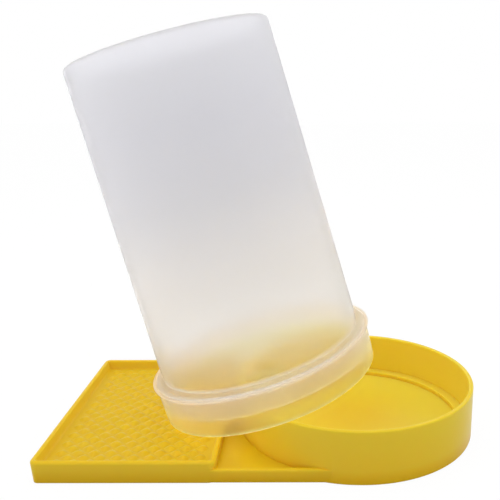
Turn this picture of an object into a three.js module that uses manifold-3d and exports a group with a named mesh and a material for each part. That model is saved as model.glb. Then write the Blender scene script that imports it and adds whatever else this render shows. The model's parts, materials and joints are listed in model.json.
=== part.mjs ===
// Hive entrance feeder: a yellow base with a round cup and a shallow tray for the bees, and a frosted
// jar with a push-on lid. The jar leans as it is put down on the base: its lid's low edge stands on the
// tray's bumps, and the lid's set-back face rests on the cup's rim.
// Millimetres, +Z up. The origin is on the ground under the middle of the base, with the cup towards +X.

import * as THREE from 'three';
import { mergeVertices } from 'three/addons/utils/BufferGeometryUtils.js';
import Module from 'manifold-3d';

const wasm = await Module();
wasm.setup();

// Sizes that both mouldings share
const BASE_LENGTH = 190;
const SEAT_GAP = 0.3;
const OVERRUN = 1;
const CUP_STEPS = 96;
const JAR_STEPS = 72;

// Cup of the base
const CUP_OUTER_RADIUS = 55;
const CUP_HEIGHT = 23.6;
const CUP_DRAFT = 0.3;
const CUP_FLOOR_TOP = 3;
const CUP_RIM_ROUNDING = 0.7;
const LEDGE_TOP = 5;
const LEDGE_WIDTH = 4.6;
const LEDGE_GAP_WIDTH = 20;

// Tray and bridge of the base
const BASE_WALL = 2;
const FLOOR_THICKNESS = 1.8;
const TRAY_LENGTH = 75.5;
const TRAY_WIDTH = 107.4;
const TRAY_HEIGHT = 9.8;
const TRAY_CORNER_RADIUS = 3;
const TRAY_RIM_ROUNDING = 1.2;
const POCKET_DRAFT = 0.9;
const SIDE_DRAFT = 0.8;
const TRAY_FLOOR_TOP = 5.2;
const BRIDGE_HEIGHT = 6.2;
const BRIDGE_FLOOR_TOP = 3.5;
const BRIDGE_ROUNDING = 0.8;
const BRIDGE_SETBACK = 0.3;
const ROUNDING_STEPS = 4;
const CORNER_STEPS = 5;

// Bumps that the bees stand on, in rows set half a pitch apart
const BUMP_HEIGHT = 2.2;
const BUMP_PITCH_ALONG = 7;
const BUMP_PITCH_ACROSS = 7.7;
const BUMP_FOOT_SHARE = 0.86;
const BUMP_TOP_SHARE = 0.36;
const BUMP_MARGIN = 0.6;

// Feed channel from the cup to the tray
const CHANNEL_WIDTH = 16;
const FEED_SLOT_HEIGHT = 3.6;

// Push-on lid, measured along its own axis from the edge of its ring
const RING_RADIUS = 50.5;
const LID_WALL = 1.3;
const LID_HEIGHT = 17.3;
const LID_FACE_SETBACK = 6.6;
const LIP_OVERHANG = 1.3;
const LIP_THICKNESS = 0.9;
const LIP_SEAT_DEPTH = 0.9;
const SKIRT_FLARE = 0.4;
const LID_EDGE_ROUNDING = 0.3;
const DRIP_BOSS_RADIUS = 7;
const DRIP_BOSS_DRAFT = 0.4;
const DRIP_BOSS_CLEARANCE = 1.7;
const DRIP_HOLE_RADIUS = 0.8;
const DRIP_HOLE_CIRCLE = 3.6;
const DRIP_HOLE_COUNT = 6;
const DRIP_HOLE_STEPS = 8;

// Jar, closed at its upper end, with its mouth in the lid
const JAR_LENGTH = 145;
const JAR_WALL = 1.6;
const NECK_WALL = 1.8;
const STOP_FLANGE_WIDTH = 1.7;
const STOP_FLANGE_THICKNESS = 0.7;
const COLLAR_RADIUS = 48.8;
const COLLAR_RISE = 0.5;
const WAIST_RADIUS = 46.6;
const WAIST_RISE = 0.2;
const SHOULDER_RADIUS = 47.1;
const SHOULDER_RISE = 7.6;
const CLOSED_END_RADIUS = 45.5;
const CLOSED_END_ROUNDING = 2;
const SEAL_RIB_HEIGHT = 0.4;
const SEAL_RIB_WIDTH = 1.4;

// How the jar is put down: how far its axis stands from the cup's wall, and off the middle line
const REST_OFFSET = 15;
const REST_SIDESTEP = 1.4;

// Places that follow from those sizes
const baseLeft = -BASE_LENGTH / 2;
const cupX = BASE_LENGTH / 2 - CUP_OUTER_RADIUS;
const cupLeft = cupX - CUP_OUTER_RADIUS;
const cupInnerRadius = CUP_OUTER_RADIUS - BASE_WALL;
const trayRight = baseLeft + TRAY_LENGTH;
const halfTray = TRAY_WIDTH / 2;
const bumpTop = TRAY_FLOOR_TOP + BUMP_HEIGHT;
const lidBore = RING_RADIUS - LID_WALL;
const lidFaceTop = LID_FACE_SETBACK + LID_WALL;
const jarSeat = LID_HEIGHT - LIP_SEAT_DEPTH;
const neckRadius = lidBore - SEAT_GAP;
const flangeRadius = neckRadius + STOP_FLANGE_WIDTH;

// Makes a solid of a closed three.js geometry
function toSolid(geometry) {
  const bare = geometry.clone();
  bare.deleteAttribute('normal');
  bare.deleteAttribute('uv');
  const merged = mergeVertices(bare);
  const corners = merged.index.array;
  const triangles = [];
  for (let i = 0; i < corners.length; i += 3) {
    const [a, b, c] = corners.slice(i, i + 3);
    if (a !== b && b !== c && c !== a) triangles.push(a, b, c);
  }
  const vertProperties = new Float32Array(merged.attributes.position.array);
  const triVerts = new Uint32Array(triangles);
  return new wasm.Manifold(new wasm.Mesh({ numProp: 3, vertProperties, triVerts }));
}

function toGeometry(solid) {
  const mesh = solid.getMesh();
  const geometry = new THREE.BufferGeometry();
  geometry.setAttribute('position', new THREE.BufferAttribute(new Float32Array(mesh.vertProperties), 3));
  geometry.setIndex(new THREE.BufferAttribute(new Uint32Array(mesh.triVerts), 1));
  geometry.computeVertexNormals();
  return geometry;
}

// Turns a profile of [radius, height] pairs about Z
function turned(profile, steps) {
  const points = profile.map(([radius, height]) => new THREE.Vector2(radius, height));
  return new THREE.LatheGeometry(points, steps).rotateX(Math.PI / 2);
}

// Points of an arc in a profile, from one angle to another in degrees
function arc(radius, height, size, from, to, steps = 3) {
  const points = [];
  for (let i = 0; i <= steps; i += 1) {
    const angle = THREE.MathUtils.degToRad(THREE.MathUtils.lerp(from, to, i / steps));
    points.push([radius + size * Math.cos(angle), height + size * Math.sin(angle)]);
  }
  return points;
}

function block(left, right, front, back, bottom, top) {
  const geometry = new THREE.BoxGeometry(right - left, back - front, top - bottom);
  geometry.translate((left + right) / 2, (front + back) / 2, (bottom + top) / 2);
  return toSolid(geometry);
}

function roundedOutline(left, right, halfWidth, radius) {
  const shape = new THREE.Shape();
  shape.absarc(right - radius, radius - halfWidth, radius, -Math.PI / 2, 0);
  shape.absarc(right - radius, halfWidth - radius, radius, 0, Math.PI / 2);
  shape.absarc(left + radius, halfWidth - radius, radius, Math.PI / 2, Math.PI);
  shape.absarc(left + radius, radius - halfWidth, radius, Math.PI, Math.PI * 1.5);
  shape.closePath();
  return shape;
}

function extruded(shape, bottom, top) {
  const options = { depth: top - bottom, bevelEnabled: false, curveSegments: CORNER_STEPS };
  return toSolid(new THREE.ExtrudeGeometry(shape, options).translate(0, 0, bottom));
}

// A solid through one rounded outline at several levels, each an inset at a height
function lofted(left, right, halfWidth, radius, levels) {
  const last = levels.length - 1;
  const options = { depth: last, steps: last, bevelEnabled: false, curveSegments: CORNER_STEPS };
  const geometry = new THREE.ExtrudeGeometry(roundedOutline(left, right, halfWidth, radius), options);
  const middle = (left + right) / 2;
  const halfLength = (right - left) / 2;
  const place = geometry.attributes.position;
  for (let i = 0; i < place.count; i += 1) {
    const [inset, height] = levels[Math.round(place.getZ(i))];
    const x = middle + (place.getX(i) - middle) * (1 - inset / halfLength);
    place.setXYZ(i, x, place.getY(i) * (1 - inset / halfWidth), height);
  }
  return toSolid(geometry);
}

// Levels of a side that leans in towards its foot and is rounded over into its top
function sideLevels(height, rounding) {
  const levels = [[SIDE_DRAFT, 0]];
  for (const [setback, level] of arc(0, height - rounding, rounding, 0, 90, ROUNDING_STEPS)) {
    levels.push([rounding - setback, level]);
  }
  return levels;
}

// Tray with its rounded rim and its pocket
function makeTray() {
  const tray = lofted(
    baseLeft, trayRight, halfTray, TRAY_CORNER_RADIUS, sideLevels(TRAY_HEIGHT, TRAY_RIM_ROUNDING));
  const pocket = lofted(
    baseLeft + BASE_WALL, trayRight - BASE_WALL, halfTray - BASE_WALL, TRAY_CORNER_RADIUS - BASE_WALL,
    [[POCKET_DRAFT, TRAY_FLOOR_TOP], [0, TRAY_HEIGHT], [0, TRAY_HEIGHT + OVERRUN]]);
  return tray.subtract(pocket);
}

// Bridge from the tray to the cup: a lower trough between two walls
function makeBridge() {
  const halfBridge = halfTray - BRIDGE_SETBACK;
  const left = trayRight - BASE_WALL - 2 * TRAY_CORNER_RADIUS;
  const bridge = lofted(
    left, cupX + TRAY_CORNER_RADIUS, halfBridge, TRAY_CORNER_RADIUS,
    sideLevels(BRIDGE_HEIGHT, BRIDGE_ROUNDING));
  const trough = block(
    trayRight - BASE_WALL, cupX, BASE_WALL - halfBridge, halfBridge - BASE_WALL,
    BRIDGE_FLOOR_TOP, BRIDGE_HEIGHT + OVERRUN);
  return bridge.subtract(trough);
}

// The space under the floors of the tray and the bridge
function makeUnderside() {
  const footInset = SIDE_DRAFT + BASE_WALL;
  const radius = TRAY_CORNER_RADIUS - BASE_WALL;
  const wholeOutline = roundedOutline(baseLeft + footInset, cupX, halfTray - footInset, radius);
  const trayOutline = roundedOutline(
    baseLeft + footInset, trayRight - BASE_WALL, halfTray - footInset, radius);
  return extruded(wholeOutline, -OVERRUN, BRIDGE_FLOOR_TOP - FLOOR_THICKNESS)
    .add(extruded(trayOutline, -OVERRUN, TRAY_FLOOR_TOP - FLOOR_THICKNESS));
}

// Bumps on the tray's floor: diamond frusta on a staggered pattern, as many as fit inside the rim
function makeBumps() {
  const border = BASE_WALL + POCKET_DRAFT + BUMP_MARGIN;
  const floorLeft = baseLeft + border;
  const floorRight = trayRight - border;
  const floorHalfWidth = halfTray - border;
  const footHalfLength = BUMP_PITCH_ALONG / 2 * BUMP_FOOT_SHARE;
  const footHalfWidth = BUMP_PITCH_ACROSS / 2 * BUMP_FOOT_SHARE;
  const columns = Math.floor((floorRight - floorLeft - 2 * footHalfLength) / (BUMP_PITCH_ALONG / 2));
  const rows = Math.floor((floorHalfWidth - footHalfWidth) / (BUMP_PITCH_ACROSS / 2));
  const firstX = (floorLeft + floorRight - columns * BUMP_PITCH_ALONG / 2) / 2;
  const sunk = FLOOR_THICKNESS / 2;
  const growth = (BUMP_FOOT_SHARE - BUMP_TOP_SHARE) * sunk / BUMP_HEIGHT;
  const bumps = [];
  for (let column = 0; column <= columns; column += 1) {
    for (let row = -rows; row <= rows; row += 1) {
      if ((column + row) % 2 !== 0) continue;
      const bump = new THREE.CylinderGeometry(
        BUMP_TOP_SHARE, BUMP_FOOT_SHARE + growth, BUMP_HEIGHT + sunk, 4);
      bump.rotateX(Math.PI / 2);
      bump.scale(BUMP_PITCH_ALONG / 2, BUMP_PITCH_ACROSS / 2, 1);
      bump.translate(
        firstX + column * BUMP_PITCH_ALONG / 2, row * BUMP_PITCH_ACROSS / 2,
        bumpTop - (BUMP_HEIGHT + sunk) / 2);
      bumps.push(toSolid(bump));
    }
  }
  return wasm.Manifold.union(bumps);
}

// Cup: a drafted drum with a rounded rim, over which the jar is turned
function makeCupDrum() {
  const outerTop = CUP_HEIGHT - CUP_RIM_ROUNDING;
  return toSolid(turned([
    [0, 0],
    [CUP_OUTER_RADIUS - CUP_DRAFT, 0],
    ...arc(CUP_OUTER_RADIUS - CUP_RIM_ROUNDING, outerTop, CUP_RIM_ROUNDING, 0, 90),
    [0, CUP_HEIGHT],
  ], CUP_STEPS)).translate([cupX, 0, 0]);
}

function makeCupHollow() {
  const rimTop = CUP_HEIGHT - CUP_RIM_ROUNDING;
  const flare = arc(cupInnerRadius + CUP_RIM_ROUNDING, rimTop, CUP_RIM_ROUNDING, 180, 90);
  return toSolid(turned([
    [0, CUP_FLOOR_TOP],
    [cupInnerRadius, CUP_FLOOR_TOP],
    ...flare,
    [cupInnerRadius + CUP_RIM_ROUNDING, CUP_HEIGHT + OVERRUN],
    [0, CUP_HEIGHT + OVERRUN],
  ], CUP_STEPS)).translate([cupX, 0, 0]);
}

function makeCupUnderside() {
  const radius = CUP_OUTER_RADIUS - CUP_DRAFT - 2 * BASE_WALL;
  const recess = CUP_FLOOR_TOP - FLOOR_THICKNESS;
  return toSolid(turned([
    [0, -OVERRUN],
    [radius, -OVERRUN],
    [radius, recess],
    [0, recess],
  ], CUP_STEPS)).translate([cupX, 0, 0]);
}

// Ledge in the cup that carries the lid's ring in use, left open towards the tray
function makeLedge() {
  const innerRadius = cupInnerRadius - LEDGE_WIDTH;
  const outerRadius = cupInnerRadius + BASE_WALL / 2;
  const sunk = CUP_FLOOR_TOP - FLOOR_THICKNESS / 2;
  const ring = toSolid(turned([
    [innerRadius, sunk],
    [outerRadius, sunk],
    [outerRadius, LEDGE_TOP],
    [innerRadius, LEDGE_TOP],
    [innerRadius, sunk],
  ], CUP_STEPS)).translate([cupX, 0, 0]);
  const gap = block(
    cupLeft, cupX, -LEDGE_GAP_WIDTH / 2, LEDGE_GAP_WIDTH / 2, sunk - OVERRUN, LEDGE_TOP + OVERRUN);
  return ring.subtract(gap);
}

// Feed channel: two walls along the bridge from the cup to the tray, a gap in the tray's rim between
// them, and a slot at the foot of the cup's wall, so that syrup runs from the cup to the bumps.
function makeChannelWalls() {
  const outerHalf = CHANNEL_WIDTH / 2 + BASE_WALL;
  return block(
    trayRight - BASE_WALL / 2, cupLeft + BASE_WALL, -outerHalf, outerHalf,
    BRIDGE_FLOOR_TOP - FLOOR_THICKNESS / 2, TRAY_HEIGHT);
}

function makeChannelSpace() {
  const half = CHANNEL_WIDTH / 2;
  const top = TRAY_HEIGHT + OVERRUN;
  const rimGap = block(trayRight - BASE_WALL - OVERRUN, trayRight, -half, half, TRAY_FLOOR_TOP, top);
  return rimGap.add(block(trayRight, cupLeft + BASE_WALL + OVERRUN, -half, half, BRIDGE_FLOOR_TOP, top));
}

function makeFeedSlot() {
  return block(
    cupLeft - OVERRUN, cupLeft + 2 * BASE_WALL + OVERRUN, -CHANNEL_WIDTH / 2, CHANNEL_WIDTH / 2,
    BRIDGE_FLOOR_TOP, BRIDGE_FLOOR_TOP + FEED_SLOT_HEIGHT);
}

function makeBase() {
  const material = new THREE.MeshStandardMaterial({ color: 0xe2b72c, roughness: 0.32, metalness: 0 });
  const solid = makeTray()
    .add(makeBridge())
    .add(makeBumps())
    .subtract(makeUnderside())
    .add(makeChannelWalls())
    .subtract(makeChannelSpace())
    .add(makeCupDrum())
    .subtract(makeCupHollow())
    .subtract(makeCupUnderside())
    .add(makeLedge())
    .subtract(makeFeedSlot());
  const base = new THREE.Mesh(toGeometry(solid), material);
  base.name = 'feeder_base';
  return base;
}

// Lid: a ring that stands in the cup, a face set back inside it with a perforated drip boss in its
// middle, and a skirt round the jar's mouth that ends in a flared lip round the seat of the jar's flange.
function makeLid() {
  const bossInner = DRIP_BOSS_RADIUS - LID_WALL;
  const skirtTop = RING_RADIUS + SKIRT_FLARE;
  const lipRadius = skirtTop + LIP_OVERHANG;
  const lipRounding = LIP_THICKNESS / 2;
  const lipUnderside = LID_HEIGHT - LIP_THICKNESS;
  const body = toSolid(turned([
    [0, DRIP_BOSS_CLEARANCE],
    [DRIP_BOSS_RADIUS - DRIP_BOSS_DRAFT, DRIP_BOSS_CLEARANCE],
    [DRIP_BOSS_RADIUS, LID_FACE_SETBACK],
    [lidBore, LID_FACE_SETBACK],
    ...arc(lidBore + LID_EDGE_ROUNDING, LID_EDGE_ROUNDING, LID_EDGE_ROUNDING, 180, 270, 2),
    ...arc(RING_RADIUS - LID_EDGE_ROUNDING, LID_EDGE_ROUNDING, LID_EDGE_ROUNDING, 270, 360, 2),
    [skirtTop, lipUnderside - LIP_OVERHANG],
    ...arc(lipRadius - lipRounding, LID_HEIGHT - lipRounding, lipRounding, -60, 90, 4),
    [flangeRadius + SEAT_GAP, LID_HEIGHT],
    [flangeRadius + SEAT_GAP, jarSeat],
    [lidBore, jarSeat],
    [lidBore, lidFaceTop],
    [bossInner, lidFaceTop],
    [bossInner - DRIP_BOSS_DRAFT, DRIP_BOSS_CLEARANCE + LID_WALL],
    [0, DRIP_BOSS_CLEARANCE + LID_WALL],
  ], JAR_STEPS));

  const holes = [];
  for (let i = 0; i < DRIP_HOLE_COUNT; i += 1) {
    const angle = 2 * Math.PI * i / DRIP_HOLE_COUNT;
    const hole = new THREE.CylinderGeometry(
      DRIP_HOLE_RADIUS, DRIP_HOLE_RADIUS, LID_WALL + 2 * OVERRUN, DRIP_HOLE_STEPS);
    hole.rotateX(Math.PI / 2);
    hole.translate(
      DRIP_HOLE_CIRCLE * Math.cos(angle), DRIP_HOLE_CIRCLE * Math.sin(angle),
      DRIP_BOSS_CLEARANCE + LID_WALL / 2);
    holes.push(toSolid(hole));
  }
  const material = new THREE.MeshStandardMaterial({
    color: 0xe9e2dc, roughness: 0.45, metalness: 0, transparent: true, opacity: 0.7,
  });
  const lid = new THREE.Mesh(toGeometry(body.subtract(wasm.Manifold.union(holes))), material);
  lid.name = 'jar_lid';
  return lid;
}

// Jar: one thin wall from the mouth, past the stop flange, the collar on it and the waist, up the
// tapered body to the closed end. The wall is drawn once outside and once inside, and its mouth is open.
function makeJar() {
  const mouth = lidFaceTop + SEAT_GAP;
  const neckRoot = neckRadius - SEAL_RIB_HEIGHT;
  const neckInner = neckRoot - NECK_WALL;
  const flangeUnder = jarSeat + SEAT_GAP;
  const flangeTop = flangeUnder + STOP_FLANGE_THICKNESS;
  const collarTop = flangeTop + COLLAR_RISE;
  const waist = collarTop + WAIST_RISE;
  const shoulder = waist + SHOULDER_RISE;
  const closedEnd = flangeUnder + JAR_LENGTH;
  const ribMiddle = (mouth + flangeUnder) / 2;
  const inside = CLOSED_END_ROUNDING - JAR_WALL;
  const bulge = SHOULDER_RADIUS - WAIST_RADIUS;
  const geometry = turned([
    [0, closedEnd - JAR_WALL],
    ...arc(CLOSED_END_RADIUS - CLOSED_END_ROUNDING, closedEnd - CLOSED_END_ROUNDING, inside, 90, 0),
    [SHOULDER_RADIUS - JAR_WALL, shoulder],
    [WAIST_RADIUS + bulge * Math.SQRT1_2 - JAR_WALL, waist + SHOULDER_RISE * (1 - Math.SQRT1_2)],
    [WAIST_RADIUS - JAR_WALL, waist],
    [neckInner, flangeUnder - NECK_WALL],
    [neckInner, mouth],
    [neckRoot, mouth],
    [neckRoot, ribMiddle - SEAL_RIB_WIDTH / 2],
    [neckRadius, ribMiddle],
    [neckRoot, ribMiddle + SEAL_RIB_WIDTH / 2],
    [neckRoot, flangeUnder],
    [flangeRadius, flangeUnder],
    [flangeRadius, flangeTop],
    [COLLAR_RADIUS, collarTop],
    [WAIST_RADIUS, waist],
    [WAIST_RADIUS + bulge * Math.SQRT1_2, waist + SHOULDER_RISE * (1 - Math.SQRT1_2)],
    [SHOULDER_RADIUS, shoulder],
    ...arc(
      CLOSED_END_RADIUS - CLOSED_END_ROUNDING, closedEnd - CLOSED_END_ROUNDING, CLOSED_END_ROUNDING, 0, 90),
    [0, closedEnd],
  ], JAR_STEPS);
  const material = new THREE.MeshStandardMaterial({
    color: 0xe3e3e9, roughness: 0.4, metalness: 0, transparent: true, opacity: 0.85,
  });
  const jar = new THREE.Mesh(geometry, material);
  jar.name = 'syrup_jar';
  return jar;
}

// The lean at which the lid's low edge stands on the bumps while its face rests on the cup's rim.
// It has no closed form, so the range that holds it is halved until it is found.
function restLean() {
  const edgeHeight = bumpTop + SEAT_GAP;
  let low = THREE.MathUtils.degToRad(4);
  let high = THREE.MathUtils.degToRad(40);
  for (let i = 0; i < 50; i += 1) {
    const lean = (low + high) / 2;
    const centreHeight = edgeHeight + RING_RADIUS * Math.sin(lean);
    const rimAboveRing = REST_OFFSET * Math.sin(lean) + (CUP_HEIGHT - centreHeight) * Math.cos(lean);
    if (rimAboveRing > LID_FACE_SETBACK - SEAT_GAP) low = lean;
    else high = lean;
  }
  return (low + high) / 2;
}

const lean = restLean();
const leaningJar = new THREE.Group();
leaningJar.position.set(
  cupLeft + REST_OFFSET, REST_SIDESTEP, bumpTop + SEAT_GAP + RING_RADIUS * Math.sin(lean));
leaningJar.rotation.y = -lean;
leaningJar.add(makeLid(), makeJar());

const feeder = new THREE.Group();
feeder.add(makeBase(), leaningJar);

export default feeder;
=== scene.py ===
import json
import math

import bmesh
import bpy
import numpy as np
from mathutils import Matrix, Vector


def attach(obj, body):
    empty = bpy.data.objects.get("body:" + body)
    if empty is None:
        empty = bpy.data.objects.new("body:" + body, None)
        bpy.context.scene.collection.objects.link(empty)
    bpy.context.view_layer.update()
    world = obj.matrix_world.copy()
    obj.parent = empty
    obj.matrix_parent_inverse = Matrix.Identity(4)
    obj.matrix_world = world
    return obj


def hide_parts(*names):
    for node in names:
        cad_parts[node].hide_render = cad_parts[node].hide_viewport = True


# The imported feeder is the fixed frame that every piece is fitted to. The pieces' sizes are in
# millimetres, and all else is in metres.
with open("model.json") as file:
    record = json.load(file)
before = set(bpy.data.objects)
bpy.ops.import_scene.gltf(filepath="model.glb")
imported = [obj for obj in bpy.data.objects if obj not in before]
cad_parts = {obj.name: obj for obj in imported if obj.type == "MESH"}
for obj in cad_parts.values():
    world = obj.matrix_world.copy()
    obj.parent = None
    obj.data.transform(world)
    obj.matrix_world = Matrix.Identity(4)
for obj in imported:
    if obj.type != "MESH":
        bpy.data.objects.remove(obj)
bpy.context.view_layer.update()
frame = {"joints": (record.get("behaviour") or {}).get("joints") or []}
scene = bpy.context.scene
scene.view_settings.view_transform = "Standard"

# The camera stands close in front of the feeder and a little above the jar's middle, as the
# photographer's did. The picture is part of a wider frame, which the shift brings into view.
camera_place = (0.0205, -0.3068, 0.1573)
look_aside = math.radians(0.08)
look_down = math.radians(10.69)
tilt = math.radians(-0.13)
camera = bpy.data.objects.new("camera", bpy.data.cameras.new("camera"))
scene.collection.objects.link(camera)
scene.camera = camera
camera.data.sensor_width = 36
camera.data.lens = 49.4
camera.data.shift_x = -0.1252
camera.data.shift_y = -0.0628
camera.matrix_world = (
    Matrix.Translation(camera_place)
    @ Matrix.Rotation(look_aside, 4, "Z")
    @ Matrix.Rotation(math.pi / 2 - look_down, 4, "X")
    @ Matrix.Rotation(tilt, 4, "Z")
)

# Soft light from all round, as inside a white tent, with one large lamp above and one at each side.
# What looks straight into the tent, or through clear plastic at it, sees plain white.
tent_strength = 0.7


def node_maker(tree):
    """A function that adds nodes to one node tree."""

    def add(kind, inputs=(), **settings):
        """Adds a node with its settings. Each (input, value) pair joins the input to a socket, or sets it
        to a plain number or colour."""
        node = tree.nodes.new(kind)
        for name, value in settings.items():
            if hasattr(node, name):
                setattr(node, name, value)
            else:
                node.inputs[name.replace("_", " ")].default_value = value
        for name, value in inputs:
            if isinstance(value, bpy.types.NodeSocket):
                tree.links.new(value, node.inputs[name])
            else:
                node.inputs[name].default_value = value
        return node

    return add


def seen_plainly(add):
    """1 for a ray from the camera, off a glossy face or through clear plastic, and 0 for any other: the
    largest of the three marks that a ray carries."""
    ray = add("ShaderNodeLightPath").outputs
    seen = add("ShaderNodeMath", [(0, ray["Is Camera Ray"]), (1, ray["Is Glossy Ray"])], operation="MAXIMUM")
    through = [(0, seen.outputs[0]), (1, ray["Is Transmission Ray"])]
    return add("ShaderNodeMath", through, operation="MAXIMUM").outputs[0]


world = bpy.data.worlds.new("white tent")
world.use_nodes = True
scene.world = world
add = node_maker(world.node_tree)
strength = add("ShaderNodeMapRange", [("Value", seen_plainly(add))], To_Min=tent_strength, To_Max=1.0)
tent = world.node_tree.nodes["Background"]
tent.inputs["Color"].default_value = (1, 1, 1, 1)
world.node_tree.links.new(strength.outputs[0], tent.inputs["Strength"])


def softbox(name, place, aim, width, height, power):
    """A rectangular lamp at place, turned so that it shines towards aim, with its power in watts."""
    lamp = bpy.data.lights.new(name, "AREA")
    lamp.shape = "RECTANGLE"
    lamp.size = width
    lamp.size_y = height
    lamp.energy = power
    holder = bpy.data.objects.new(name, lamp)
    holder.location = place
    holder.rotation_euler = (Vector(aim) - Vector(place)).to_track_quat("-Z", "Y").to_euler()
    scene.collection.objects.link(holder)


softbox("top lamp", (0.05, 0.05, 0.95), (0, 0, 0), 0.9, 0.7, 2.5)
softbox("left lamp", (-0.8, -0.35, 0.45), (0, 0, 0.06), 0.5, 0.7, 0.9)
softbox("right lamp", (0.85, -0.3, 0.4), (0, 0, 0.06), 0.4, 0.7, 0.9)

# The base is one moulding of glossy yellow plastic: a shallow tray with a bumped floor, a lower bridge
# with a feed channel, and a round cup with a ledge in it. All of it is hollow underneath.
wall = 2.0
floor_thickness = 1.8
side_draft = 0.8
foot_rounding = 0.4
base_left = -95.0
tray_right = -19.5
half_tray = 53.7
tray_height = 9.8
tray_floor = 5.2
tray_corner = 3.0
rim_rounding = 1.2
rim_inner_edge = 1.3
rim_inner_rounding = 0.9
pocket_edge = 4.0
pocket_rounding = 1.5


def arc(across, up, radius, start, end, steps=6):
    """Points on a circle's arc about (across, up), between two angles in degrees."""
    turn = np.radians(np.linspace(start, end, steps + 1))
    return list(zip(across + radius * np.cos(turn), up + radius * np.sin(turn)))


def rounded_frame(left, right, half_width, corner, inset, height, least=0.5, steps=8):
    """One ring of points at a height: a rectangle drawn in by inset, with a quarter circle at each corner
    whose radius is corner less inset, and at the least so much."""
    radius = max(corner - inset, least)
    quarter = np.radians(np.linspace(0, 90, steps + 1))
    ends = (
        (right, half_width, 0), (left, half_width, 90),
        (left, -half_width, 180), (right, -half_width, 270))
    ring = []
    for x, y, first in ends:
        middle_x = x - np.sign(x - (left + right) / 2) * (inset + radius)
        middle_y = y - np.sign(y) * (inset + radius)
        turn = quarter + math.radians(first)
        ring.append(np.stack([
            middle_x + radius * np.cos(turn), middle_y + radius * np.sin(turn),
            np.full(steps + 1, height)], -1))
    return np.concatenate(ring)


def turned(profile, steps=192):
    """Rings of points round the z axis: (r cos t, r sin t, h) for each (r, h) of the profile and t from 0
    to a full turn."""
    turn = np.linspace(0, 2 * np.pi, steps, endpoint=False)
    radius, height = np.array(profile, float).T[:, :, None]
    return np.stack([radius * np.cos(turn), radius * np.sin(turn), np.repeat(height, steps, 1)], -1)


def skin(name, rings, joined=False):
    """Joins rings of points, each to the next with a band of faces. The two end rings are closed with a
    flat face each, or joined to each other."""
    rings = np.asarray(rings, float)
    count, around = rings.shape[:2]
    band, place = np.meshgrid(np.arange(count if joined else count - 1), np.arange(around), indexing="ij")
    above = (band + 1) % count * around
    beside = (place + 1) % around
    faces = np.stack([band * around + place, band * around + beside, above + beside, above + place], -1)
    faces = faces.reshape(-1, 4).tolist()
    if not joined:
        faces.append(list(range(around - 1, -1, -1)))
        faces.append(list(range((count - 1) * around, count * around)))
    mesh = bpy.data.meshes.new(name)
    mesh.from_pydata((rings.reshape(-1, 3) / 1000).tolist(), [], faces)
    shape = bmesh.new()
    shape.from_mesh(mesh)
    bmesh.ops.remove_doubles(shape, verts=shape.verts, dist=1e-7)
    bmesh.ops.recalc_face_normals(shape, faces=shape.faces)
    shape.to_mesh(mesh)
    shape.free()
    piece = bpy.data.objects.new(name, mesh)
    scene.collection.objects.link(piece)
    return piece


def block(x, y, z):
    """A box between two values along each axis."""
    ring = [(x[0], y[0]), (x[1], y[0]), (x[1], y[1]), (x[0], y[1])]
    return skin("block", [[(a, b, height) for a, b in ring] for height in z])


def joined_with(piece, other, how="UNION"):
    """Adds the other closed shape to the piece, or takes it away, and removes the other."""
    step = piece.modifiers.new("join", "BOOLEAN")
    step.operation = how
    step.solver = "EXACT"
    step.object = other
    bpy.context.view_layer.update()
    made = bpy.data.meshes.new_from_object(piece.evaluated_get(bpy.context.evaluated_depsgraph_get()))
    piece.modifiers.clear()
    piece.data = made
    bpy.data.objects.remove(other)


def repeated(piece, shifts):
    """Gives the piece one copy of its mesh for each (x, y, z) shift: every corner plus every shift."""
    corners = np.array([corner.co for corner in piece.data.vertices])
    sides = [np.array(side.vertices) for side in piece.data.polygons]
    firsts = np.arange(len(shifts)) * len(corners)
    all_corners = (shifts[:, None] / 1000 + corners).reshape(-1, 3)
    all_sides = [(side + first).tolist() for first in firsts for side in sides]
    made = bpy.data.meshes.new(piece.name)
    made.from_pydata(all_corners.tolist(), [], all_sides)
    piece.data = made


def without_slivers(piece, closest=5e-6):
    """Merges points that lie closer than so many metres, and the thin faces that joining has left."""
    shape = bmesh.new()
    shape.from_mesh(piece.data)
    bmesh.ops.remove_doubles(shape, verts=shape.verts, dist=closest)
    bmesh.ops.dissolve_degenerate(shape, edges=shape.edges, dist=closest)
    shape.to_mesh(piece.data)
    shape.free()


def shaded_smooth(piece, sharpest):
    """Shades the piece smoothly, apart from edges where it turns by more than so many degrees."""
    piece.data.shade_smooth()
    piece.data.set_sharp_from_angle(angle=math.radians(sharpest))
    even = piece.modifiers.new("even shading", "WEIGHTED_NORMAL")
    even.keep_sharp = True


# The tray is drawn ring by ring, from its foot over its rim and down to the bumped floor.
tray_profile = arc(side_draft + foot_rounding, foot_rounding, foot_rounding, 270, 180, 3)
tray_profile += arc(rim_rounding, tray_height - rim_rounding, rim_rounding, 180, 90)
tray_profile += arc(rim_inner_edge, tray_height - rim_inner_rounding, rim_inner_rounding, 90, 0, 5)
tray_profile += arc(pocket_edge, tray_floor + pocket_rounding, pocket_rounding, 192, 270, 6)
base = skin("feeder_base_moulding", [
    rounded_frame(base_left, tray_right, half_tray, tray_corner, inset, height)
    for inset, height in tray_profile])

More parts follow.
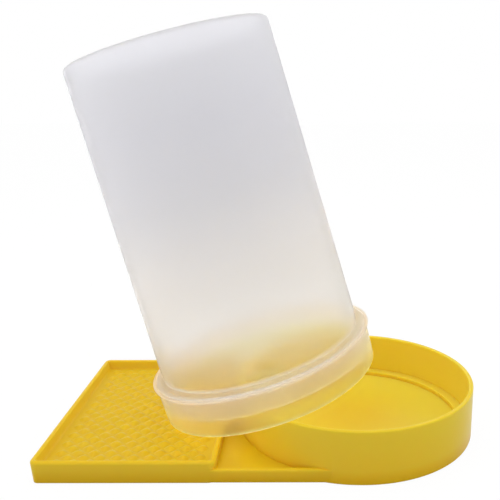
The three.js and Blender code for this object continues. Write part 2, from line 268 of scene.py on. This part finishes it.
# The bridge has the same cut all along, and runs from inside the tray to inside the cup.
cup_x = 40.0
half_bridge = 53.4
bridge_height = 6.2
bridge_floor = 3.5
bridge_rounding = 0.8
bridge_edge = 0.3
bridge_foot = 0.5
bridge_start = tray_right - 8
bridge_inside = half_bridge - wall
bridge_half = arc(half_bridge - side_draft - foot_rounding, foot_rounding, foot_rounding, 270, 360, 3)
bridge_half += arc(half_bridge - bridge_rounding, bridge_height - bridge_rounding, bridge_rounding, 0, 90)
bridge_half += arc(bridge_inside + bridge_edge, bridge_height - bridge_edge, bridge_edge, 90, 180, 3)
bridge_half += arc(bridge_inside - bridge_foot, bridge_floor + bridge_foot, bridge_foot, 0, -90, 3)
bridge_cut = bridge_half + [(-across, up) for across, up in reversed(bridge_half)]
bridge = skin("bridge", [[(x, across, up) for across, up in bridge_cut] for x in (bridge_start, cup_x)])
joined_with(base, bridge)

# The tray's floor carries small bumps on a staggered pattern, for the bees to stand on. Each is a
# four-sided point with its edges rounded over: |x| and |y| to the power of squareness add up to one.
bump_along = 7.0
bump_across = 7.7
bump_room = 0.86
squareness = 1.3
border = 3.5
floor_left = base_left + border
floor_right = tray_right - border
columns = math.floor((floor_right - floor_left - bump_room * bump_along) / (bump_along / 2))
rows = math.floor((half_tray - border - bump_room / 2 * bump_across) / (bump_across / 2))
first_x = (floor_left + floor_right - columns * bump_along / 2) / 2
turn = np.radians(np.arange(0, 360, 30))
along = np.abs(np.cos(turn)) ** squareness
across = np.abs(np.sin(turn)) ** squareness
diamond = 1 / (along + across) ** (1 / squareness)
share, rise = np.array([
    (0.84, -0.6), (0.84, 0.0), (0.72, 0.13), (0.54, 0.46),
    (0.36, 0.76), (0.2, 0.93), (0.07, 1.0)]).T[:, :, None]
bump = skin("bumps", np.stack([
    share * diamond * np.cos(turn) * bump_along / 2,
    share * diamond * np.sin(turn) * bump_across / 2,
    np.repeat(rise + tray_floor, len(turn), 1)], -1))
column, row = np.meshgrid(np.arange(columns + 1), np.arange(-rows, rows + 1), indexing="ij")
kept = (column + row) % 2 == 0
repeated(bump, np.stack([
    first_x + column[kept] * bump_along / 2, row[kept] * bump_across / 2, 0 * row[kept]], -1))
joined_with(base, bump)

# The tray and the bridge are hollow below their floors, inside walls that follow their sides. Whatever
# cuts reaches a little past the face that it opens.
past = 1.0
hollow_corner = 1.0
inset = side_draft + wall
for right, top in (
        (cup_x, bridge_floor - floor_thickness), (tray_right - wall, tray_floor - floor_thickness)):
    hollow = skin("hollow", [
        rounded_frame(base_left + inset, right, half_tray - inset, hollow_corner, 0, height)
        for height in (-past, top)])
    joined_with(base, hollow, "DIFFERENCE")

# Two low walls carry the syrup along the bridge, through a gap in the tray's rim. They start a little
# below the floor's face, so that they join it in full.
cup_radius = 55.0
cup_left = cup_x - cup_radius
channel_half = 8.0
channel_outer = channel_half + wall
sunk = 0.9
joined_with(base, block(
    (tray_right - wall / 2, cup_left + wall), (-channel_outer, channel_outer),
    (bridge_floor - sunk, tray_height)))
for left, right, bottom in (
        (tray_right - wall - past, tray_right, tray_floor),
        (tray_right, cup_left + wall + past, bridge_floor)):
    space = block((left, right), (-channel_half, channel_half), (bottom, tray_height + past))
    joined_with(base, space, "DIFFERENCE")

# The cup is a drum with a rounded rim, with a slot through its wall at the channel. Its ledge carries the
# lid's ring when the jar stands in it, and stops short of the slot on both sides.
cup_height = 23.6
cup_floor = 3.0
cup_draft = 0.3
cup_rounding = 0.7
inner_foot = 0.5
slot_height = 3.6
ledge_top = 5.0
ledge_width = 4.6
ledge_rounding = 0.3
ledge_gap = 10.0
inner_radius = cup_radius - wall
drum_profile = arc(cup_radius - cup_draft - foot_rounding, foot_rounding, foot_rounding, 270, 360, 3)
drum_profile += arc(cup_radius - cup_rounding, cup_height - cup_rounding, cup_rounding, 0, 90)
hollow_profile = arc(inner_radius - inner_foot, cup_floor + inner_foot, inner_foot, 270, 360, 3)
hollow_profile += arc(inner_radius + cup_rounding, cup_height - cup_rounding, cup_rounding, 180, 90)
hollow_profile += [(inner_radius + cup_rounding, cup_height + past)]
under_radius = cup_radius - cup_draft - 2 * wall
under_profile = [(under_radius, -past), (under_radius, cup_floor - floor_thickness)]
for profile, how in ((drum_profile, "UNION"), (hollow_profile, "DIFFERENCE"), (under_profile, "DIFFERENCE")):
    joined_with(base, skin("drum", turned(profile) + (cup_x, 0, 0)), how)
slot = block(
    (cup_left - past, cup_left + 2 * wall + past), (-channel_half, channel_half),
    (bridge_floor, bridge_floor + slot_height))
joined_with(base, slot, "DIFFERENCE")
ledge_inner = inner_radius - ledge_width
ledge_profile = [(ledge_inner, cup_floor - sunk)]
ledge_profile += arc(ledge_inner + ledge_rounding, ledge_top - ledge_rounding, ledge_rounding, 180, 90, 3)
ledge_profile += [(inner_radius + past, ledge_top), (inner_radius + past, cup_floor - sunk)]
ledge = skin("ledge", turned(ledge_profile) + (cup_x, 0, 0), joined=True)
joined_with(ledge, block((cup_left, cup_x), (-ledge_gap, ledge_gap), (0, ledge_top + past)), "DIFFERENCE")
joined_with(base, ledge)
without_slivers(base)
shaded_smooth(base, 32)


def material(name):
    """A new material, its shader, a function that adds a node, and one that joins two sockets."""
    made = bpy.data.materials.new(name)
    made.use_nodes = True
    tree = made.node_tree
    return made, tree.nodes["Principled BSDF"], node_maker(tree), tree.links.new


def ramp(add, share, stops):
    """A colour that runs straight from stop to stop as share rises. A stop is a share and a colour, or a
    share and one grey level."""
    node = add("ShaderNodeValToRGB", [("Fac", share)])
    elements = node.color_ramp.elements
    while len(elements) < len(stops):
        elements.new(0.5)
    for element, (at, colour) in zip(elements, stops):
        element.position = at
        element.color = (*np.broadcast_to(colour, 3), 1)
    return node.outputs["Color"]


def fine_grain(add, place, scale, strength):
    """The surface's direction, disturbed by noise of so many grains to the metre, a fifth of a millimetre
    deep at strength 1."""
    grain = add("ShaderNodeTexNoise", [("Vector", place)], Scale=scale, Detail=2.0).outputs["Fac"]
    relief = add("ShaderNodeBump", [("Height", grain)], Strength=strength, Distance=0.0002)
    return relief.outputs["Normal"]


# The yellow wanders a little in soft clouds. Light and shade are painted into it as well: it is painted
# lighter high up and on upright faces, painted darker and deeper as shade along the foot of the sides, and
# painted paler inside the cup, to offset the light that its walls throw on each other. The way from the
# cup's axis is taken in tenths of a metre.
deep_yellow = (0.78, 0.485, 0.008)
light_yellow = (0.81, 0.635, 0.048)
painted_pale_cup_yellow = (0.84, 0.66, 0.065)
painted_foot_shade_yellow = (0.82, 0.46, 0.0)
painted_lighter_per_metre = 20.0
lighter_in_clouds = 0.2
yellow, shader, add, link = material("yellow plastic")
place = add("ShaderNodeTexCoord").outputs["Object"]
clouds = add("ShaderNodeTexNoise", [("Vector", place)], Scale=38.0, Detail=3.0, Roughness=0.55).outputs["Fac"]
height = add("ShaderNodeSeparateXYZ", [("Vector", place)]).outputs["Z"]
direction = add("ShaderNodeTexCoord").outputs["Normal"]
facing_up = add("ShaderNodeSeparateXYZ", [("Vector", direction)]).outputs["Z"]
# Painted light: sideways faces are painted paler than faces that look up, and all faces lighter with height.
upright = add("ShaderNodeMapRange", [
    ("Value", facing_up)], From_Min=0.0, From_Max=0.9, To_Min=0.5, To_Max=0.0).outputs[0]
painted_light_and_clouds = add("ShaderNodeMath", [
    (0, height), (1, painted_lighter_per_metre), (2, upright)], operation="MULTIPLY_ADD").outputs[0]
painted_light_and_clouds = add("ShaderNodeMath", [
    (0, clouds), (1, lighter_in_clouds), (2, painted_light_and_clouds)], operation="MULTIPLY_ADD").outputs[0]
tint = ramp(add, painted_light_and_clouds, ((0.0, deep_yellow), (1.0, light_yellow)))
# Painted light: the cup's inside is painted paler, to offset the light that its walls throw on each other.
from_axis = add("ShaderNodeVectorMath", [
    (0, place), (1, (10, 10, 0)), (2, (-cup_x / 100, 0, 0))], operation="MULTIPLY_ADD").outputs[0]
from_axis = add("ShaderNodeVectorMath", [(0, from_axis)], operation="LENGTH").outputs["Value"]
painted_pale_in_cup = ramp(add, from_axis, ((0.07, 0.0), (0.35, 0.75), (0.5, 1.0), (0.534, 1.0), (0.54, 0.0)))
tint = add("ShaderNodeMix", [
    ("Factor", painted_pale_in_cup), ("A", tint), ("B", (*painted_pale_cup_yellow, 1))], data_type="RGBA").outputs["Result"]
# Painted shade: the sides are painted darker and deeper towards their foot, as a contact shadow.
painted_shade_low = add("ShaderNodeMapRange", [("Value", height)], From_Max=0.006, To_Min=1.6, To_Max=0.0).outputs[0]
painted_foot_shade = add("ShaderNodeMath", [(0, painted_shade_low), (1, upright)], operation="MULTIPLY").outputs[0]
tint = add("ShaderNodeMix", [
    ("Factor", painted_foot_shade), ("A", tint), ("B", (*painted_foot_shade_yellow, 1))], data_type="RGBA").outputs["Result"]
link(tint, shader.inputs["Base Color"])
gloss = add("ShaderNodeMapRange", [("Value", clouds)], To_Min=0.26, To_Max=0.36)
link(gloss.outputs[0], shader.inputs["Roughness"])
link(fine_grain(add, place, 900.0, 0.12), shader.inputs["Normal"])
shader.inputs["Specular IOR Level"].default_value = 0.1
shader.inputs["Subsurface Weight"].default_value = 0.9
shader.inputs["Subsurface Radius"].default_value = (1.0, 0.85, 0.3)
shader.inputs["Subsurface Scale"].default_value = 0.003
base.data.materials.clear()
base.data.materials.append(yellow)
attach(base, "base")
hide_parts("feeder_base")

# The lid is frosted plastic. Its ring stands in the cup, its face is set back inside with a drip boss
# in the middle, and its skirt is pushed over the jar's mouth and ends in a thin flared lip.
ring_radius = 50.5
lid_wall = 1.3
lid_bore = ring_radius - lid_wall
lid_height = 17.3
seat_gap = 0.3
seat_edge = 0.2
flange_width = 1.7
flange_radius = lid_bore - seat_gap + flange_width
seat_radius = flange_radius + seat_gap
lip_thickness = 0.9
lip_rounding = lip_thickness / 2
lip_overhang = 1.7
lip_radius = ring_radius + lip_overhang
lip_drop = 2.2
seat = lid_height - lip_thickness
skirt_flare = 0.4
face = 6.6
face_fillet = 2.6
lid_fillet = 0.4
lid_rounding = 0.3
boss_radius = 7.0
boss_draft = 0.4
boss_face = 1.7
boss_inner = boss_radius - lid_wall
drip_radius = 0.8
drip_circle = 3.6
lid_profile = [(boss_radius - 2 * lid_rounding, boss_face)]
lid_profile += arc(boss_radius - 2 * lid_rounding, boss_face + lid_rounding, lid_rounding, 280, 355, 3)
lid_profile += arc(boss_radius + lid_fillet, face - lid_fillet, lid_fillet, 180, 90, 3)
lid_profile += arc(lid_bore - face_fillet, face - face_fillet, face_fillet, 90, 0, 8)
lid_profile += arc(lid_bore + lid_wall / 2, lid_wall / 2, lid_wall / 2, 180, 360, 8)
lid_profile += [(ring_radius + skirt_flare, lid_height - lip_drop)]
lid_profile += arc(lip_radius - lip_rounding, lid_height - lip_rounding, lip_rounding, -60, 90, 6)
lid_profile += arc(seat_radius + seat_edge, lid_height - seat_edge, seat_edge, 90, 180, 3)
lid_profile += [(seat_radius, seat)]
lid_profile += arc(lid_bore + lid_rounding, seat - lid_rounding, lid_rounding, 90, 180, 3)
lid_profile += arc(lid_bore - lid_fillet, face + lid_wall + lid_fillet, lid_fillet, 0, -90, 3)
lid_profile += arc(boss_inner + lid_rounding, face + lid_wall - lid_rounding, lid_rounding, 90, 175, 3)
lid_profile += [(boss_inner - boss_draft, boss_face + lid_wall)]
lid = skin("drip_lid", turned(lid_profile))
for angle in np.radians(np.arange(0, 360, 60)):
    hole = turned([(drip_radius, boss_face - past), (drip_radius, boss_face + lid_wall + past)], 24)
    middle = (drip_circle * math.cos(angle), drip_circle * math.sin(angle), 0)
    joined_with(lid, skin("hole", hole + middle), "DIFFERENCE")
without_slivers(lid)

# The lid and the jar share one axis, which leans as the jar does on the cup's rim.
rest_place = (0, 0.0014, 0.021233)
axis = Vector(next(joint["axis"] for joint in frame["joints"] if joint["name"] == "pull_from_lid"))
leaning = Matrix.Translation(rest_place) @ Matrix.Rotation(-math.atan2(-axis.x, axis.z), 4, "Y")
lid.data.transform(leaning)
shaded_smooth(lid, 40)


def frosted_plastic(name, length, clouds, cloud_share, tints_with_painted_light, haze, grain, milk, clear, shade):
    """Frosted plastic that changes along the leaning axis. Share is the way from the ring's edge over
    length. The tint, into which light and shade are painted, is read at share plus cloud_share of soft
    clouds (their scale and detail), which also roughen the surface from the least haze to the most. Milk is
    how much of the light is scattered in the wall and not bent through it, and clear is how much of the
    rest gets through. Light for shadows passes, dimmed to shade."""
    made, shader, add, link = material(name)
    place = add("ShaderNodeTexCoord").outputs["Object"]
    clouds = add("ShaderNodeTexNoise", [("Vector", place)], Scale=clouds[0], Detail=clouds[1]).outputs["Fac"]
    upright = add("ShaderNodeMapping", [
        ("Vector", place), ("Location", leaning.to_translation()), ("Rotation", leaning.to_euler())],
        vector_type="TEXTURE")
    along = add("ShaderNodeSeparateXYZ", [("Vector", upright.outputs[0])]).outputs["Z"]
    share = add("ShaderNodeMapRange", [("Value", along)], From_Max=length / 1000).outputs[0]
    wander = add("ShaderNodeMath", [(0, clouds), (1, cloud_share), (2, share)], operation="MULTIPLY_ADD")
    tint = ramp(add, wander.outputs[0], tints_with_painted_light)
    roughness = add("ShaderNodeMapRange", [("Value", clouds)], To_Min=haze[0], To_Max=haze[1])
    normal = fine_grain(add, place, grain, 0.1)
    link(tint, shader.inputs["Base Color"])
    link(roughness.outputs[0], shader.inputs["Roughness"])
    link(normal, shader.inputs["Normal"])
    link(ramp(add, share, clear), shader.inputs["Transmission Weight"])
    shader.inputs["IOR"].default_value = 1.15
    scattered = add("ShaderNodeBsdfTranslucent", [("Color", tint), ("Normal", normal)])
    body = add("ShaderNodeMixShader", [
        (0, ramp(add, share, milk)), (1, shader.outputs[0]), (2, scattered.outputs[0])])
    passed = add("ShaderNodeBsdfTransparent", Color=(*shade, 1))
    shadow_ray = add("ShaderNodeLightPath").outputs["Is Shadow Ray"]
    surface = add("ShaderNodeMixShader", [(0, shadow_ray), (1, body.outputs[0]), (2, passed.outputs[0])])
    link(surface.outputs[0], made.node_tree.nodes["Material Output"].inputs["Surface"])
    return made


# Painted light: the lid's tint is a yellow at the ring's edge, painted in as glow from the yellow base, that
# turns warm white up to the lip.
lid.data.materials.clear()
lid.data.materials.append(frosted_plastic(
    "frosted lid plastic", lid_height, clouds=(45.0, 2.0), cloud_share=0.15,
    tints_with_painted_light=((0.0, (0.92, 0.915, 0.56)), (1.0, (1.0, 0.945, 0.875))), haze=(0.46, 0.54), grain=1100.0,
    milk=((0.0, 0.9), (0.03, 0.8), (0.055, 0.12), (0.3, 0.14), (0.55, 0.1), (0.9, 0.18), (0.96, 0.5)),
    clear=((0.0, 0.5), (0.03, 0.5), (0.055, 0.98), (0.5, 0.98), (0.95, 0.92), (0.98, 0.7)),
    shade=(0.96, 0.95, 0.93)))
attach(lid, "lid")
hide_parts("jar_lid")

# The jar is blown from milky plastic: a straight body that narrows a little to its closed end, a waist
# and a stop flange over the lid's lip, and a plain neck with one sealing rib inside the lid.
jar_wall = 1.6
neck_wall = 1.8
rib_height = 0.4
rib_half_width = 0.7
neck_radius = lid_bore - seat_gap
neck_root = neck_radius - rib_height
neck_inner = neck_root - neck_wall
mouth = face + lid_wall + seat_gap
mouth_rounding = 0.5
mouth_thinning = 2.4
flange = seat + seat_gap
flange_rounding = 0.35
rib = (mouth + flange) / 2
collar_radius = 48.8
collar = flange + 1.2
collar_rounding = 0.3
waist_radius = 46.6
waist = collar + 0.2
waist_corner = ((0.4, -0.05), (0.1, 0.2))
shoulder_radius = 47.1
shoulder = waist + 7.6
end_radius = 45.5
end_rounding = 2.0
closed_end = flange + 145.0


def body_side(inset):
    """The jar's side in a cut, moved in by inset: a quarter circle at its closed end, a straight run to
    its shoulder, and a quarter of an ellipse from the shoulder in to the waist."""
    side = arc(end_radius - end_rounding, closed_end - end_rounding, end_rounding - inset, 90, 0, 8)
    side += [(shoulder_radius - inset, shoulder)]
    ease = np.linspace(0, np.pi / 2, 7)[1:]
    side += zip(waist_radius + (shoulder_radius - waist_radius) * np.cos(ease) - inset,
                shoulder - (shoulder - waist) * np.sin(ease))
    return side


jar_profile = body_side(jar_wall)
jar_profile += [(neck_inner, flange - neck_wall), (neck_inner, mouth + mouth_thinning)]
jar_profile += arc(neck_root - mouth_rounding, mouth + mouth_rounding, mouth_rounding, 200, 360, 6)
jar_profile += [(neck_root, rib - rib_half_width), (neck_radius, rib), (neck_root, rib + rib_half_width)]
jar_profile += [(neck_root, flange)]
jar_profile += arc(flange_radius - flange_rounding, flange + flange_rounding, flange_rounding, -90, 90, 6)
jar_profile += arc(collar_radius - collar_rounding, collar - collar_rounding, collar_rounding, 20, 85, 4)
jar_profile += [(waist_radius + out, waist + up) for out, up in waist_corner]
jar_profile += list(reversed(body_side(0)))[1:]
jar = skin("syrup_jar_shell", turned(jar_profile))
jar.data.transform(leaning)
shaded_smooth(jar, 40)

# Painted light: the jar's tint is painted warm and light near its flange, as glow from the yellow base, and
# painted darker over its upper half, as shade.
jar.data.materials.clear()
jar.data.materials.append(frosted_plastic(
    "milky jar plastic", closed_end, clouds=(22.0, 3.0), cloud_share=0.06,
    tints_with_painted_light=((0.1, (1.0, 0.95, 0.92)), (0.15, (0.98, 0.97, 0.955)), (0.42, (0.935, 0.925, 0.92)),
           (0.62, (0.86, 0.86, 0.88)), (0.82, (0.85, 0.85, 0.875)), (1.0, (0.87, 0.87, 0.89))),
    haze=(0.33, 0.4), grain=800.0,
    milk=((0.1, 0.05), (0.105, 0.4), (0.112, 0.4), (0.12, 0.0), (0.155, 0.07), (0.37, 0.36), (0.6, 0.4),
          (0.93, 0.3), (0.985, 0.15), (0.99, 0.4)),
    clear=((0.1, 1.0), (0.104, 0.86), (0.115, 0.86), (0.12, 1.0)),
    shade=(0.96, 0.95, 0.935)))
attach(jar, "jar")
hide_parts("syrup_jar")

# The floor is plain white. It shows as white as the tent and keeps only a faint shadow of the feeder.
half_floor = 3.0
floor_level = -0.0002
floor_share = 0.9
floor_strength = 1.06
ground = bpy.data.meshes.new("floor")
ground.from_pydata([
    (x * half_floor, y * half_floor, floor_level) for x, y in ((-1, -1), (1, -1), (1, 1), (-1, 1))
], [], [(0, 1, 2, 3)])
floor = bpy.data.objects.new("floor", ground)
scene.collection.objects.link(floor)
white, shader, add, link = material("white floor")
shader.inputs["Base Color"].default_value = (0.5, 0.5, 0.5, 1)
shader.inputs["Roughness"].default_value = 0.8
share = add("ShaderNodeMath", [(0, seen_plainly(add)), (1, floor_share)], operation="MULTIPLY").outputs[0]
glow = add("ShaderNodeEmission", Color=(1, 1, 1, 1), Strength=floor_strength)
surface = add("ShaderNodeMixShader", [(0, share), (1, shader.outputs[0]), (2, glow.outputs[0])])
link(surface.outputs[0], white.node_tree.nodes["Material Output"].inputs["Surface"])
ground.materials.append(white)

bpy.context.view_layer.update()
